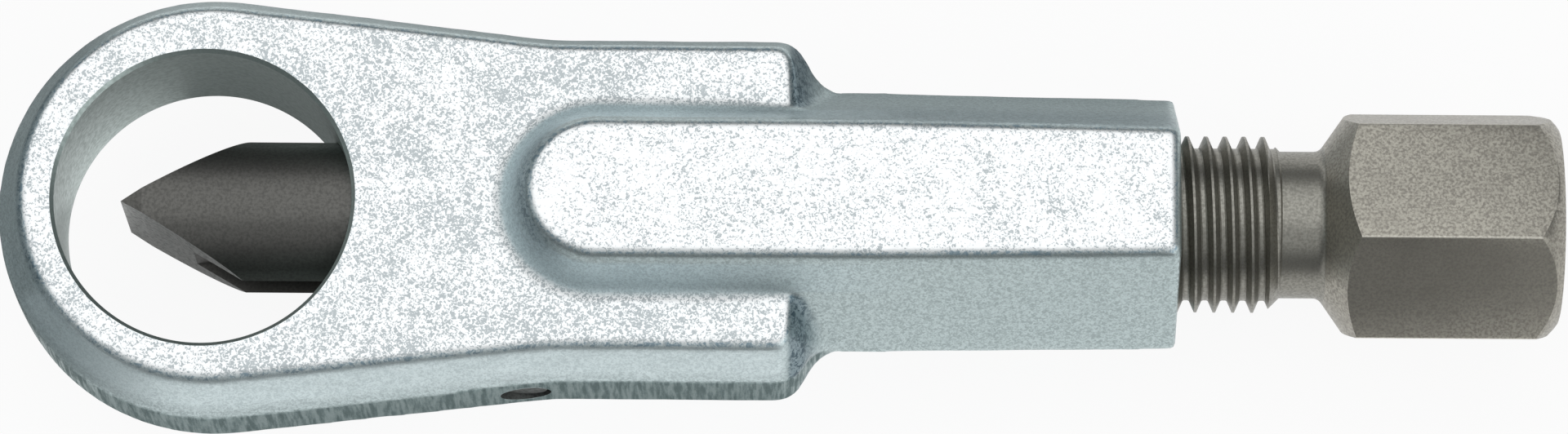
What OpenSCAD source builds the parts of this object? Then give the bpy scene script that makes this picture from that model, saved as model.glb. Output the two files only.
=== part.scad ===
// Nut splitter: a drop-forged ring-headed body, a keyed wedge chisel and a hex-headed pressure screw.
// Millimetres. The tool lies flat on its boss, +X runs toward the hex head and +Z along the ring's bore.
// The origin is under the middle of the whole tool, on the plane that it rests on.

/* [Ring] */
// Bore that takes the nut
ring_bore_d = 23.4; // [22.6:0.2:24.4]
// Outside of the ring at the parting plane
ring_outer_d = 34; // [33:0.1:36]
// Distance from the bore's centre to the outer circle's centre, toward the screw
ring_shift = 0.6; // [0:0.1:1.2]
// Height of the trimmed flash land round the ring
ring_land = 5.8; // [3:0.2:7]
// Chamfer on both rims of the bore
rim_chamfer = 0.3; // [0.1:0.05:0.6]

/* [Plate] */
// Thickness of the ring and the shoulders
plate_t = 14.4; // [13.6:0.2:15.6]
// Angle at which the flanks close in from the ring to the shoulders
flank_angle = 6.9; // [6:0.1:8]
// Radius of the hollow bend between flank and shoulder
flank_bend_r = 25; // [10:1:40]
// Width across the shoulders at the parting plane
shoulder_w = 27.8; // [27.2:0.1:28.6]
// Place of the shoulders' outer corners, from the bore's centre
shoulder_x = 46.4; // [45.4:0.2:48]
// Height of the trimmed flash land on the shoulders
shoulder_land = 6.6; // [4:0.2:7]
// Slope of the shoulders' end walls against the tool's axis
shoulder_slope = 59; // [50:1:65]
// Rounding of the shoulders' outer corners
shoulder_corner_r = 2.4; // [1.6:0.1:2.8]
// Fillet from the end walls into the shank
shoulder_fillet_r = 3; // [1.8:0.1:3.6]
// Distance from the shoulders' corners to the plane in which the end walls meet the plate's faces
end_face_ahead = 0.1; // [-0.3:0.1:0.4]
// Rounding of the faces' corners on the shoulders
face_corner_r = 1.3; // [1.1:0.1:1.6]
// Forging draft of the plate's sides
plate_draft = 25; // [18:0.5:26]
// Draft by which the side at the pin exceeds the mean, and the far side falls short of it
draft_skew = 5.5; // [0:0.5:6]
// Rounding along the plate's faces
plate_edge_r = 1; // [0.6:0.1:1.3]

/* [Boss and shank] */
// Thickness over the two boss faces
boss_t = 23.2; // [22.4:0.1:24.4]
// Place of the centre of the boss's round front end, from the bore's centre
boss_x = 31; // [29.4:0.1:34]
// Width of the shank at the parting plane beside the shoulders
shank_w = 21.1; // [20.6:0.1:22]
// Width of the shank at the parting plane at its end
shank_end_w = 20.3; // [19.6:0.1:20.6]
// Forging draft of the shank's sides
shank_draft = 24.2; // [20:0.1:26]
// Rounding along the boss faces
boss_edge_r = 1; // [0.6:0.1:1.4]
// Radius of the fillet round the foot of the boss
boss_fillet = 1.6; // [1:0.1:2.2]
// Place of the shank's end face, from the bore's centre
body_end = 76.7; // [75:0.1:78.5]
// Rounding of the boss faces at the shank's end
end_round = 0.9; // [0.5:0.1:1.4]

/* [Bores] */
// Radial play of the chisel in its guide bore
chisel_play = 0.05; // [0.02:0.01:0.1]
// Radial play of the screw in the tapped bore
screw_play = 0.05; // [0.02:0.01:0.1]
// Length of the tapped bore
tapped_len = 31.7; // [31:0.1:33]
// Depth of the countersink at the mouth of the tapped bore
mouth_chamfer = 0.6; // [0.3:0.1:1]

/* [Guide pin] */
// Diameter of the guide pin
pin_d = 4; // [3:0.1:4.4]
// Place of the guide pin, from the bore's centre
pin_x = 25.4; // [25:0.1:26]
// Depth of the pin's end below the flash land
pin_recess = 0.35; // [0.1:0.05:1]
// Chamfer on both ends of the pin
pin_chamfer = 0.35; // [0.2:0.05:0.6]
// Gap between the pin's tip and the floor of the keyway
pin_tip_gap = 0.2; // [0.1:0.05:0.5]
// Play between the pin and each wall of the keyway
keyway_play = 0.1; // [0.05:0.01:0.2]

/* [Chisel] */
// Diameter of the chisel
chisel_d = 12; // [11.5:0.1:12.4]
// Length of the chisel
chisel_len = 46; // [45.5:0.1:47]
// Place of the cutting edge, ahead of the bore's centre
edge_ahead = 6.56; // [6.2:0.02:6.8]
// Half of the wedge angle
wedge_half_angle = 30.5; // [28:0.5:35]
// Length of the cone that narrows the chisel at the cutting edge
tip_cone_len = 1.7; // [0.8:0.1:2.4]
// Length of the cutting edge
edge_len = 10.8; // [10:0.1:11.4]
// Distance from the chisel's axis to the floor of the keyway
keyway_floor = 3.3; // [2.8:0.1:4]
// Distance from the cutting edge to the closed end of the keyway
keyway_len = 39.3; // [39:0.1:39.8]
// Chamfer on the chisel's butt end
butt_chamfer = 0.6; // [0.3:0.1:1]

/* [Pressure screw] */
// Outside diameter of the thread
thread_d = 14; // [13.6:0.1:14.4]
// Diameter of the plain nose ahead of the thread
nose_d = 11.6; // [10.8:0.1:11.7]
// Chamfer on the edge of the nose
nose_chamfer = 0.35; // [0.2:0.05:0.5]
// Gap between the chisel's butt and the nose
nose_gap = 1; // [0.6:0.1:1.5]
// Place where the thread starts, from the bore's centre
thread_start = 51; // [50.6:0.1:52]
// Place where the thread ends, from the bore's centre
thread_end = 84.8; // [84.2:0.1:85.4]
// Chamfer at both ends of the thread
thread_chamfer = 1.1; // [0.6:0.1:1.2]
// Diameter of the undercut neck
neck_d = 11.66; // [11.2:0.02:12]
// Fillet in the corner between neck and head
neck_fillet = 0.9; // [0.4:0.1:1.2]
// Place where the cone under the head starts, from the bore's centre
cone_x = 88.1; // [87.4:0.1:88.4]
// Angle of that cone against the tool's axis
cone_angle = 55; // [45:1:65]
// Width of the hexagon across its flats
hex_af = 17; // [16.5:0.1:17.5]
// Place of the hexagon's end face, from the bore's centre
hex_end = 107; // [105:0.1:110]
// Chamfer on the hexagon's corners, along the axis
hex_chamfer = 2; // [1:0.1:2.4]
// Turn of the hexagon at rest
hex_turn = 11.7; // [0:0.1:60]

/* [Thrust ball] */
// Diameter of the thrust ball
ball_d = 8; // [7:0.1:8.4]
// Depth of the ball's centre behind the face of the nose
ball_depth = 1.8; // [1.2:0.1:2.2]
// Play round the ball in its seat
ball_seat_play = 0.01; // [0.01:0.01:0.03]
// Play between the ball and the dimple in the chisel
ball_dimple_play = 0.05; // [0.03:0.01:0.1]

/* [Hidden] */
$fn = 96;
ring_r = ring_outer_d / 2;
plate_h = plate_t / 2;
boss_h = boss_t / 2;
shoulder_h = shoulder_w / 2;
chisel_r = chisel_d / 2;
thread_r = thread_d / 2;
pin_r = pin_d / 2;
ball_r = ball_d / 2;
hex_corner_r = hex_af / 2 / cos(30);
// Number of steps in half of the ring, in the flank's bend, in a short bend and in an edge rounding
ring_steps = 16;
knee_steps = 2;
bend_steps = 4;
edge_steps = 3;
// Depth and reach by which the fillet at the boss's foot runs on into the plate
foot_depth = 0.1;
foot_reach = 0.2;
// Arc of one step of the ring
ring_step = (90 + flank_angle) / (ring_steps + 0.5);
// Reach of every cutter past the face that it opens
past = 1;
// Depth by which the plate's end lies inside the shank
sunk = 0.12;
// Least half height of the land, where the plate runs out in the shank
land_out = 0.1;
// Lean of the end walls' upper edges against a square cut, and their depth inside the shank
end_lean = 0.3;
end_sunk = 0.8;
end_face_x = shoulder_x + end_face_ahead;
// Stretch over which the fillet at the boss's foot dies out where the shoulders end
fillet_start = shoulder_x - 4;
fillet_stop = shoulder_x + 0.4;
// Places along the axis
tip_x = -edge_ahead;
butt_x = tip_x + chisel_len;
nose_x = butt_x + nose_gap;
ball_x = nose_x + ball_depth;
tapped_x = body_end - tapped_len;
shank_x = shoulder_x + 7;
flank_top = ring_r * cos(flank_angle);
flank_x = ring_shift + ring_r * sin(flank_angle);
knee_x = flank_x + (flank_top - shoulder_h) / tan(flank_angle);
pin_land_y = shoulder_h + max(0, (knee_x - pin_x) * tan(flank_angle));
left_x = ring_shift - ring_r * cos(ring_step / 2);

// Half width of the shank at the parting plane
function shank_half(x) = (shank_w + (shank_end_w - shank_w) * max(0, x - shank_x) / (body_end - shank_x)) / 2;

// Arc of an outline as [x, y, direction in which it faces]; hollow if r < 0
function bend(c, r, a0, a1, steps) = [
    for (i = [0:steps])
        let (a = a0 + (a1 - a0) * i / steps)
            [c.x + r * cos(a), c.y + r * sin(a), a]
];

// Ribs of a drafted side over an outline
// Each is [foot on the land, top on the face, direction of the face's edge, half height of the land]
function leaning(outline, land, h, draft) = [
    for (p = outline)
        let (foot = [p.x, p.y], lean = (h - land) * tan(draft))
            [foot, foot - lean * [cos(p[2]), sin(p[2])], p[2], land]
];

// Ribs from the points of an outline on the land to those of an outline on the face
function spanning(low, high, land0, land1) = [
    for (i = [0:len(low) - 1])
        let (land = land0 + (land1 - land0) * i / (len(low) - 1))
            [[low[i].x, low[i].y], [high[i].x, high[i].y], high[i][2], land]
];

// Upper half of the plate's ribs, from the ring's far end to the shank
function plate_ribs() =
    let (
        wall = 90 - shoulder_slope,
        corner = [shoulder_x - shoulder_corner_r * tan(shoulder_slope / 2), shoulder_h - shoulder_corner_r],
        corner_out = corner + shoulder_corner_r * [cos(wall), sin(wall)],
        hollow_y = shank_half(0) - sunk + shoulder_fillet_r,
        hollow_in_y = hollow_y - shoulder_fillet_r * sin(wall),
        hollow_in_x = corner_out.x + (corner_out.y - hollow_in_y) / tan(shoulder_slope),
        hollow = [hollow_in_x + shoulder_fillet_r * cos(wall), hollow_y],
        knee = [knee_x + flank_bend_r * tan(flank_angle / 2), shoulder_h + flank_bend_r],
        land_a = ring_land / 2,
        land_b = shoulder_land / 2,
        face_y = shoulder_h - (plate_h - land_b) * tan(plate_draft),
        face_corner = [end_face_x - end_lean - face_corner_r, face_y - face_corner_r],
        end_y = shank_half(0) - plate_h * tan(shank_draft) - end_sunk,
        end_face = [
            for (i = [0:bend_steps])
                let (s = (i + 1) / (bend_steps + 1))
                    [end_face_x - end_lean * (1 - s), face_corner.y + (end_y - face_corner.y) * s, 0]
        ]
    )
    concat(
        leaning(bend([ring_shift, 0], ring_r, 180 - ring_step / 2, 90 - flank_angle, ring_steps),
            land_a, plate_h, plate_draft),
        leaning(bend(knee, -flank_bend_r, 90 - flank_angle, 90, knee_steps),
            land_b, plate_h, plate_draft),
        spanning(bend(corner, shoulder_corner_r, 90, wall, bend_steps),
            bend(face_corner, face_corner_r, 90, 0, bend_steps), land_b, land_b),
        spanning(bend(hollow, -shoulder_fillet_r, wall, 90, bend_steps), end_face, land_b, land_out)
    );

// Upper half of the ribs of boss and shank
function boss_ribs() = leaning(
    concat(
        bend([boss_x, 0], shank_half(0), 180 - ring_step / 2, 90, ring_steps),
        [for (x = [fillet_start, fillet_stop, shank_x]) [x, shank_half(x), 90]],
        [
            for (i = [0:edge_steps])
                let (x = body_end - end_round * (1 - sin(90 * i / edge_steps)))
                    [x, shank_half(x), 90]
        ]
    ),
    land_out, boss_h, shank_draft
);

// Place on a rib at height z, moved out by the given reach
function on_rib(rib, h, z, reach) =
    let (p = rib[0] + (z - rib[3]) / (h - rib[3]) * (rib[1] - rib[0]))
        [p.x + reach * cos(rib[2]), p.y + reach * sin(rib[2]), z];

// Rounded edge between a rib and the face
function edge(rib, h, draft, r) = concat(
    [on_rib(rib, h, h - r * (1 - sin(draft)), 0)],
    [
        for (i = [1:edge_steps])
            let (a = draft + (90 - draft) * i / edge_steps, out = r * cos(a) - r * tan((90 - draft) / 2))
                [rib[1].x + out * cos(rib[2]), rib[1].y + out * sin(rib[2]), h - r + r * sin(a)]
    ]
);

// Points up one rib of the plate
function plate_side(rib) = concat(
    [on_rib(rib, plate_h, rib[3], 0)],
    edge(rib, plate_h, plate_draft, plate_edge_r)
);

// Share of the fillet at the boss's foot that is left at x
function foot_share(x) = min(1, max(0, (fillet_stop - x) / (fillet_stop - fillet_start)));

// Drop of the boss face at x, where it rounds off to the shank's end
function end_drop(x) =
    let (s = max(0, x - body_end + end_round))
        end_round - sqrt(max(0, end_round * end_round - s * s));

// Points up one rib of boss and shank, with the fillet where it stands on the plate
function boss_side(rib) =
    let (
        share = foot_share(rib[0].x),
        turn = 90 - shank_draft,
        tangent = boss_fillet * tan(turn / 2),
        squeeze = 1 - end_drop(rib[0].x) / boss_h,
        points = concat(
            [on_rib(rib, boss_h, rib[3], 0)],
            [on_rib(rib, boss_h, plate_h - foot_depth, (tangent + foot_reach) * share)],
            [
                for (i = [1:edge_steps])
                    let (
                        a = turn * i / edge_steps,
                        up = boss_fillet * (1 - cos(a)),
                        out = tangent - boss_fillet * sin(a) + up * tan(shank_draft)
                    )
                    on_rib(rib, boss_h, plate_h + up, out * share)
            ],
            edge(rib, boss_h, shank_draft, boss_edge_r)
        )
    )
    [for (p = points) [p.x, p.y, p.z * squeeze]];

// Point of a side, moved across the tool above the land by the skew
function skewed(p, side, up, skew) =
    [p.x, side * p.y + skew * max(0, p.z - shoulder_land / 2), up * p.z];

// Both halves of a forging at one level of its sides
function level(sides, k, up, skew) = concat(
    [for (s = sides) skewed(s[k], 1, up, skew)],
    [for (i = [len(sides) - 1:-1:0]) skewed(sides[i][k], -1, up, skew)]
);

// Solid with the given half set of sides, the same above and below the parting plane
module forging(sides, skew = 0) {
    last = len(sides[0]) - 1;
    count = 2 * len(sides);
    levels = concat(
        [for (k = [last:-1:0]) level(sides, k, -1, skew)],
        [for (k = [0:last]) level(sides, k, 1, skew)]
    );
    top = (len(levels) - 1) * count;
    walls = [
        for (k = [0:len(levels) - 2], i = [0:count - 1])
            let (a = k * count + i, b = k * count + (i + 1) % count)
                each [[a, b, b + count], [a, b + count, a + count]]
    ];
    faces = [
        for (i = [0:len(sides) - 2])
            let (j = count - 1 - i)
                each [[j, j - 1, i + 1, i], [top + i, top + i + 1, top + j - 1, top + j]]
    ];
    polyhedron(points = [for (l = levels) each l], faces = concat(walls, faces));
}

// Turns a profile about the tool's axis; the profile's x is the radius and its y the place along the axis
module turned(profile) {
    rotate([0, 90, 0])
        rotate_extrude()
            polygon(profile);
}

// Puts the pieces, drawn about the bore's centre, into the part's frame
module placed() {
    translate([-(left_x + hex_end) / 2, 0, boss_h])
        children();
}

// Cutter for the ring's bore with a chamfer at each rim
module ring_cutter() {
    r = ring_bore_d / 2;
    top = plate_h + past;
    rotate_extrude()
        polygon([
            [0, -top],
            [r + rim_chamfer + past, -top],
            [r, rim_chamfer - plate_h],
            [r, plate_h - rim_chamfer],
            [r + rim_chamfer + past, top],
            [0, top]
        ]);
}

// Cutter for the guide bore, the tapped bore and the countersunk mouth
module axis_cutter() {
    guide_r = chisel_r + chisel_play;
    tapped_r = thread_r + screw_play;
    turned([
        [0, 0],
        [guide_r, 0],
        [guide_r, tapped_x],
        [tapped_r, tapped_x + (tapped_r - guide_r)],
        [tapped_r, body_end - mouth_chamfer],
        [tapped_r + mouth_chamfer + past, body_end + past],
        [0, body_end + past]
    ]);
}

module body() {
    color("gainsboro")
        placed()
            difference() {
                union() {
                    forging([for (rib = plate_ribs()) plate_side(rib)], tan(draft_skew));
                    forging([for (rib = boss_ribs()) boss_side(rib)]);
                }
                ring_cutter();
                axis_cutter();
                translate([pin_x, 0, 0])
                    rotate([90, 0, 0])
                        cylinder(r = pin_r, h = ring_r + past);
            }
}

module guide_pin() {
    outer_y = pin_land_y - pin_recess;
    inner_y = keyway_floor + pin_tip_gap;
    end_r = pin_r - pin_chamfer;
    color("slategray")
        placed()
            translate([pin_x, 0, 0])
                rotate([90, 0, 0])
                    rotate_extrude()
                        polygon([
                            [0, inner_y],
                            [end_r, inner_y],
                            [pin_r, inner_y + pin_chamfer],
                            [pin_r, outer_y - pin_chamfer],
                            [end_r, outer_y],
                            [0, outer_y]
                        ]);
}

// Half space above one flank of the wedge
module wedge_cutter() {
    reach = chisel_len;
    translate([tip_x, 0, 0])
        rotate([0, 0, wedge_half_angle])
            translate([-reach / 2, 0, -chisel_d])
                cube([reach, reach, 2 * chisel_d]);
}

module chisel() {
    half_slot = pin_r + keyway_play;
    slot_end = tip_x + keyway_len - half_slot;
    color("dimgray")
        placed()
            difference() {
                turned([
                    [0, tip_x],
                    [edge_len / 2, tip_x],
                    [chisel_r, tip_x + tip_cone_len],
                    [chisel_r, butt_x - butt_chamfer],
                    [chisel_r - butt_chamfer, butt_x],
                    [0, butt_x]
                ]);
                wedge_cutter();
                mirror([0, 1, 0])
                    wedge_cutter();
                translate([tip_x - past, -chisel_r - past, -half_slot])
                    cube([slot_end - tip_x + past, chisel_r + past - keyway_floor, 2 * half_slot]);
                translate([slot_end, -keyway_floor, 0])
                    rotate([90, 0, 0])
                        cylinder(r = half_slot, h = chisel_r);
                translate([ball_x, 0, 0])
                    rotate([0, 90, 0])
                        sphere(r = ball_r + ball_dimple_play);
            }
}

// Fillet from the neck into the cone under the head, as points of the turned profile
function neck_corner() =
    let (
        n = neck_d / 2,
        turn = cone_angle,
        start = cone_x - neck_fillet * tan(turn / 2)
    )
    [
        for (i = [0:bend_steps])
            let (a = turn * i / bend_steps)
                [n + neck_fillet * (1 - cos(a)), start + neck_fillet * sin(a)]
    ];

// One flat of the hexagon
module flat_cutter() {
    side = 2 * hex_corner_r;
    translate([cone_x, hex_af / 2, -side / 2])
        cube([hex_end - cone_x + past, side, side]);
}

module pressure_screw() {
    n = nose_d / 2;
    root = thread_r - thread_chamfer;
    head_r = hex_corner_r + past;
    cone_end = cone_x + (head_r - neck_d / 2) / tan(cone_angle);
    color("darkgray")
        placed()
            difference() {
                turned(concat(
                    [
                        [0, nose_x],
                        [n - nose_chamfer, nose_x],
                        [n, nose_x + nose_chamfer],
                        [n, thread_start],
                        [root, thread_start],
                        [thread_r, thread_start + thread_chamfer],
                        [thread_r, thread_end - thread_chamfer],
                        [neck_d / 2, thread_end]
                    ],
                    neck_corner(),
                    [
                        [head_r, cone_end],
                        [head_r, hex_end - hex_chamfer - past],
                        [hex_corner_r - hex_chamfer, hex_end],
                        [0, hex_end]
                    ]
                ));
                for (i = [0:5])
                    rotate([60 * i + 90 - hex_turn, 0, 0])
                        flat_cutter();
                translate([ball_x, 0, 0])
                    rotate([0, 90, 0])
                        sphere(r = ball_r + ball_seat_play);
            }
}

module thrust_ball() {
    color("silver")
        placed()
            translate([ball_x, 0, 0])
                sphere(r = ball_r);
}

body();
guide_pin();
chisel();
pressure_screw();
thrust_ball();
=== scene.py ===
import math
import bpy
import bmesh
from mathutils import Matrix, Vector, noise


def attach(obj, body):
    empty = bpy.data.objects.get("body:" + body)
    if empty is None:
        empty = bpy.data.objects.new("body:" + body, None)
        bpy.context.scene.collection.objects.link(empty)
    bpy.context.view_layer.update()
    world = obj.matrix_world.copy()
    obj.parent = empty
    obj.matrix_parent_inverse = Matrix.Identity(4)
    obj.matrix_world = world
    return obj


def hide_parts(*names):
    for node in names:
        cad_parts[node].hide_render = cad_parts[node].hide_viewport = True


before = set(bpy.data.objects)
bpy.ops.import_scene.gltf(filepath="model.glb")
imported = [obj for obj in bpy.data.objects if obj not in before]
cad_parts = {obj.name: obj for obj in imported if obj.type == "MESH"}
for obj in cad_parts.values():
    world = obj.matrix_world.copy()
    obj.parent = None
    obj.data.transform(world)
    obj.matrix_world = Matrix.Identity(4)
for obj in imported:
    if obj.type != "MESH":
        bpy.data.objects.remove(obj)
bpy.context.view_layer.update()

# Sizes are in millimetres from the centre of the ring's bore, with the tool's axis at y = z = 0.
# A name with _R is a radius, with _H half a height, with _X a place along the axis.
MM = 0.001
BORE_CENTRE = Vector((-45.3112, 0, 11.6))
X_AXIS = (1, 0, 0)
Y_AXIS = (0, 1, 0)
Z_AXIS = (0, 0, 1)

# Ring and plate of the forging
RING_R = 11.7
RIM_CHAMFER = 0.3
RING_OUT_R = 17.0
RING_SHIFT = 0.6
FLANK_ANGLE = 6.9
KNEE_R = 25.0
PLATE_H = 7.2
PLATE_DRAFT = 25.0
PLATE_EDGE_R = 1.0
FACE_SKEW = 5.5
RING_LAND_H = 2.9
SHOULDER_LAND_H = 3.3
THIN_LAND_H = 0.1
LAND_STEP_X = 20
LAND_RUN_OUT = 3.4

# Shoulders of the forging
SHOULDER_X = 46.4
SHOULDER_HALF = 13.9
END_SLOPE = 59.0
CORNER_R = 2.4
HOLLOW_R = 3.0
HOLLOW_SINK = 0.12
END_FACE_X = 46.5
END_FACE_LEAN = 0.3
END_FACE_SINK = 0.8
FACE_CORNER_R = 1.3

# Boss and shank of the forging
BOSS_H = 11.6
BOSS_X = 31.0
BOSS_EDGE_R = 1.0
FOOT_R = 1.6
FOOT_SINK = 0.1
FOOT_SPREAD = 0.05
SHANK_HALF = 10.55
SHANK_END_HALF = 10.15
SHANK_X = 53.4
SHANK_DRAFT = 24.2
BODY_END_X = 76.7
END_ROUND_R = 0.9

# Steps of the loft
ARC_START = 179.5
RING_STEPS = 96
KNEE_STEPS = 12
CORNER_STEPS = 16
BOSS_STEPS = 64
STRAIGHT_STEPS = 12
FOOT_STEPS = 12
EDGE_STEPS = 8

# Skin of the forging: voxel size, smoothing factors, and waves of (height, pace, place)
VOXEL = 0.34
SMOOTHING = (0.5, -0.52, 0.5, -0.52, 0.5, 0.3)
WAVES = ((0.030, 0.19, Vector((3.1, 7.7, 1.3))), (0.014, 0.75, Vector((11.0, 2.0, 5.0))))
# Shares the forging's material reads: land, flat faces, painted shade, painted light on the near side,
# roundings with a painted dark reflection, and the hollow round the boss, painted lighter
BODY_SHARES = ("land", "flat", "painted_shade", "painted_sheen", "rounding", "groove")

# Bores along the axis
GUIDE_R = 6.05
GUIDE_END_X = 45
TAPPED_R = 7.05
TAPPED_X = 46
MOUTH_CHAMFER = 0.6
AXIS_BORE_X = 11

# Guide pin
PIN_X = 25.4
PIN_R = 2.0
PIN_CHAMFER = 0.35
PIN_OUTER_Y = -13.77
PIN_INNER_Y = -3.5
PIN_HOLE_Y = -18

# Chisel
CHISEL_R = 6
TIP_X = -6.56
BUTT_X = 39.44
EDGE_HALF = 5.4
TIP_CONE = 1.7
BUTT_CHAMFER = 0.6
WEDGE_HALF_ANGLE = 30.5
KEYWAY_LENGTH = 39.3
KEYWAY_HALF = 2.1
KEYWAY_FLOOR = 3.3
KEYWAY_OUT = 9
DIMPLE_KEEP_R = 3.5
CHISEL_BEVEL = 0.09

# Thrust ball
BALL_R = 4.0
BALL_X = 42.24
SEAT_PLAY = 0.01
DIMPLE_PLAY = 0.05

# Thread of the pressure screw
PITCH = 1.5
CREST_X = 77.83
CREST_R = 7.0
ROOT_R = 6.04
ROOT_ROUND = 0.06
HELIX_START_X = 51
HELIX_END_X = 85
HELIX_TIP = 6
HELIX_STEPS = 96
THREAD_START_X = 50.6
THREAD_END_X = 84.9
THREAD_OUT_R = 7.1
START_CHAMFER = 1.5
END_CHAMFER = 1.2

# Nose and neck of the pressure screw
NOSE_X = 40.44
NOSE_R = 5.8
NOSE_CHAMFER = 0.35
NECK_R = 5.83
NECK_START_X = 52
NECK_FILLET_X = 87.63
NECK_FILLET_R = 0.9
CORE_X = 88.95
CORE_R = 7.0
CORE_END_X = 89.7

# Head of the pressure screw; its turned end is points of (distance from the end face, radius)
HEX_FLAT_R = 8.5
HEX_TURN = -11.7
HEX_END_X = 107.0
HEX_BEVEL = 0.10
BLANK_X = 98
BLANK_LENGTH = 24
HEAD_X = 88.6
HEAD_ROOT_X = 87.8
HEAD_ROOT_R = 5.4
CONE_X = 88.1
CONE_ANGLE = 55
CLEAR_R = 11
TURNED_END = ((3.0, CLEAR_R), (2.1, 9.9), (0.9, 8.85), (0.25, 8.15), (0.0, 7.8))

# Points nearer than this after a cut become one
CUT_MERGE = 0.003


def cosd(a):
    return math.cos(math.radians(a))


def sind(a):
    return math.sin(math.radians(a))


def tand(a):
    return math.tan(math.radians(a))


def ramp(value, low, high):
    """Share from 0 at low to 1 at high, which may lie below low."""
    return min(1.0, max(0.0, (value - low) / (high - low)))


# Mesh helpers

def strip(points):
    """Line of points joined by edges."""
    bm = bmesh.new()
    verts = [bm.verts.new(p) for p in points]
    for a, b in zip(verts, verts[1:]):
        bm.edges.new((a, b))
    return bm


def tidy(bm, distance=1e-4):
    bmesh.ops.remove_doubles(bm, verts=bm.verts, dist=distance)
    bmesh.ops.dissolve_degenerate(bm, dist=distance * 0.5, edges=bm.edges)
    bmesh.ops.recalc_face_normals(bm, faces=bm.faces)
    return bm


def turned(profile, steps=128, axis=X_AXIS):
    """Solid turned about an axis through the origin from points of (place along the axis, radius)."""
    if axis == X_AXIS:
        points = [(x, 0, r) for x, r in profile]
    elif axis == Y_AXIS:
        points = [(r, y, 0) for y, r in profile]
    else:
        points = [(r, 0, z) for z, r in profile]
    bm = strip(points)
    bmesh.ops.spin(bm, geom=bm.verts[:] + bm.edges[:], cent=(0, 0, 0), axis=axis,
                   angle=2 * math.pi, steps=steps, use_merge=True)
    return tidy(bm)


def block(low, high, turn=None):
    bm = bmesh.new()
    bmesh.ops.create_cube(bm, size=1)
    low, high = Vector(low), Vector(high)
    bmesh.ops.scale(bm, vec=high - low, verts=bm.verts)
    bmesh.ops.translate(bm, vec=(low + high) / 2, verts=bm.verts)
    if turn is not None:
        bmesh.ops.transform(bm, matrix=turn, verts=bm.verts)
    return bm


def moved(bm, x):
    bmesh.ops.translate(bm, vec=(x, 0, 0), verts=bm.verts)
    return bm


def ball_shape(radius):
    """Sphere at the place of the thrust ball."""
    bm = bmesh.new()
    bmesh.ops.create_uvsphere(bm, u_segments=64, v_segments=32, radius=radius)
    return moved(bm, BALL_X)


def bevel(bm, edges, width, segments, clamp=True):
    bmesh.ops.bevel(bm, geom=edges, offset=width, offset_type="OFFSET", affect="EDGES",
                    segments=segments, profile=0.5, material=-1, clamp_overlap=clamp)


def to_object(bm, name):
    mesh = bpy.data.meshes.new(name)
    bm.to_mesh(mesh)
    bm.free()
    obj = bpy.data.objects.new(name, mesh)
    bpy.context.scene.collection.objects.link(obj)
    return obj


def settled(obj):
    """The object's mesh with its modifiers applied, as a bmesh; the object goes."""
    bpy.context.view_layer.update()
    graph = bpy.context.evaluated_depsgraph_get()
    mesh = bpy.data.meshes.new_from_object(obj.evaluated_get(graph))
    bm = bmesh.new()
    bm.from_mesh(mesh)
    old = obj.data
    bpy.data.objects.remove(obj)
    bpy.data.meshes.remove(old)
    bpy.data.meshes.remove(mesh)
    return bm


def combined(a, b, operation):
    """Boolean of two closed shapes."""
    first = to_object(a, "work_a")
    second = to_object(b, "work_b")
    mod = first.modifiers.new("cut", "BOOLEAN")
    mod.operation = operation
    mod.object = second
    mod.solver = "MANIFOLD"
    result = settled(first)
    old = second.data
    bpy.data.objects.remove(second)
    bpy.data.meshes.remove(old)
    if not result.faces:
        raise RuntimeError("a boolean came out empty")
    return result


def cut(bm, *tools):
    for tool in tools:
        bm = combined(bm, tool, "DIFFERENCE")
    return bm


def shade(bm, angle):
    """Smooth shading with hard edges where faces meet at more than the angle."""
    limit = math.radians(angle)
    for face in bm.faces:
        face.smooth = True
    for edge in bm.edges:
        edge.smooth = len(edge.link_faces) == 2 and edge.calc_face_angle(0) < limit


def piece(bm, name, body, nodes, materials, angle=32):
    """Puts a finished shape into the part's frame, in metres."""
    shade(bm, angle)
    bmesh.ops.translate(bm, vec=BORE_CENTRE, verts=bm.verts)
    bmesh.ops.scale(bm, vec=(MM, MM, MM), verts=bm.verts)
    obj = to_object(bm, name)
    for material in materials:
        obj.data.materials.append(material)
    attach(obj, body)
    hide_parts(*nodes)
    return obj


# Materials; noise scales are per metre, bump distances in metres

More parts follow.
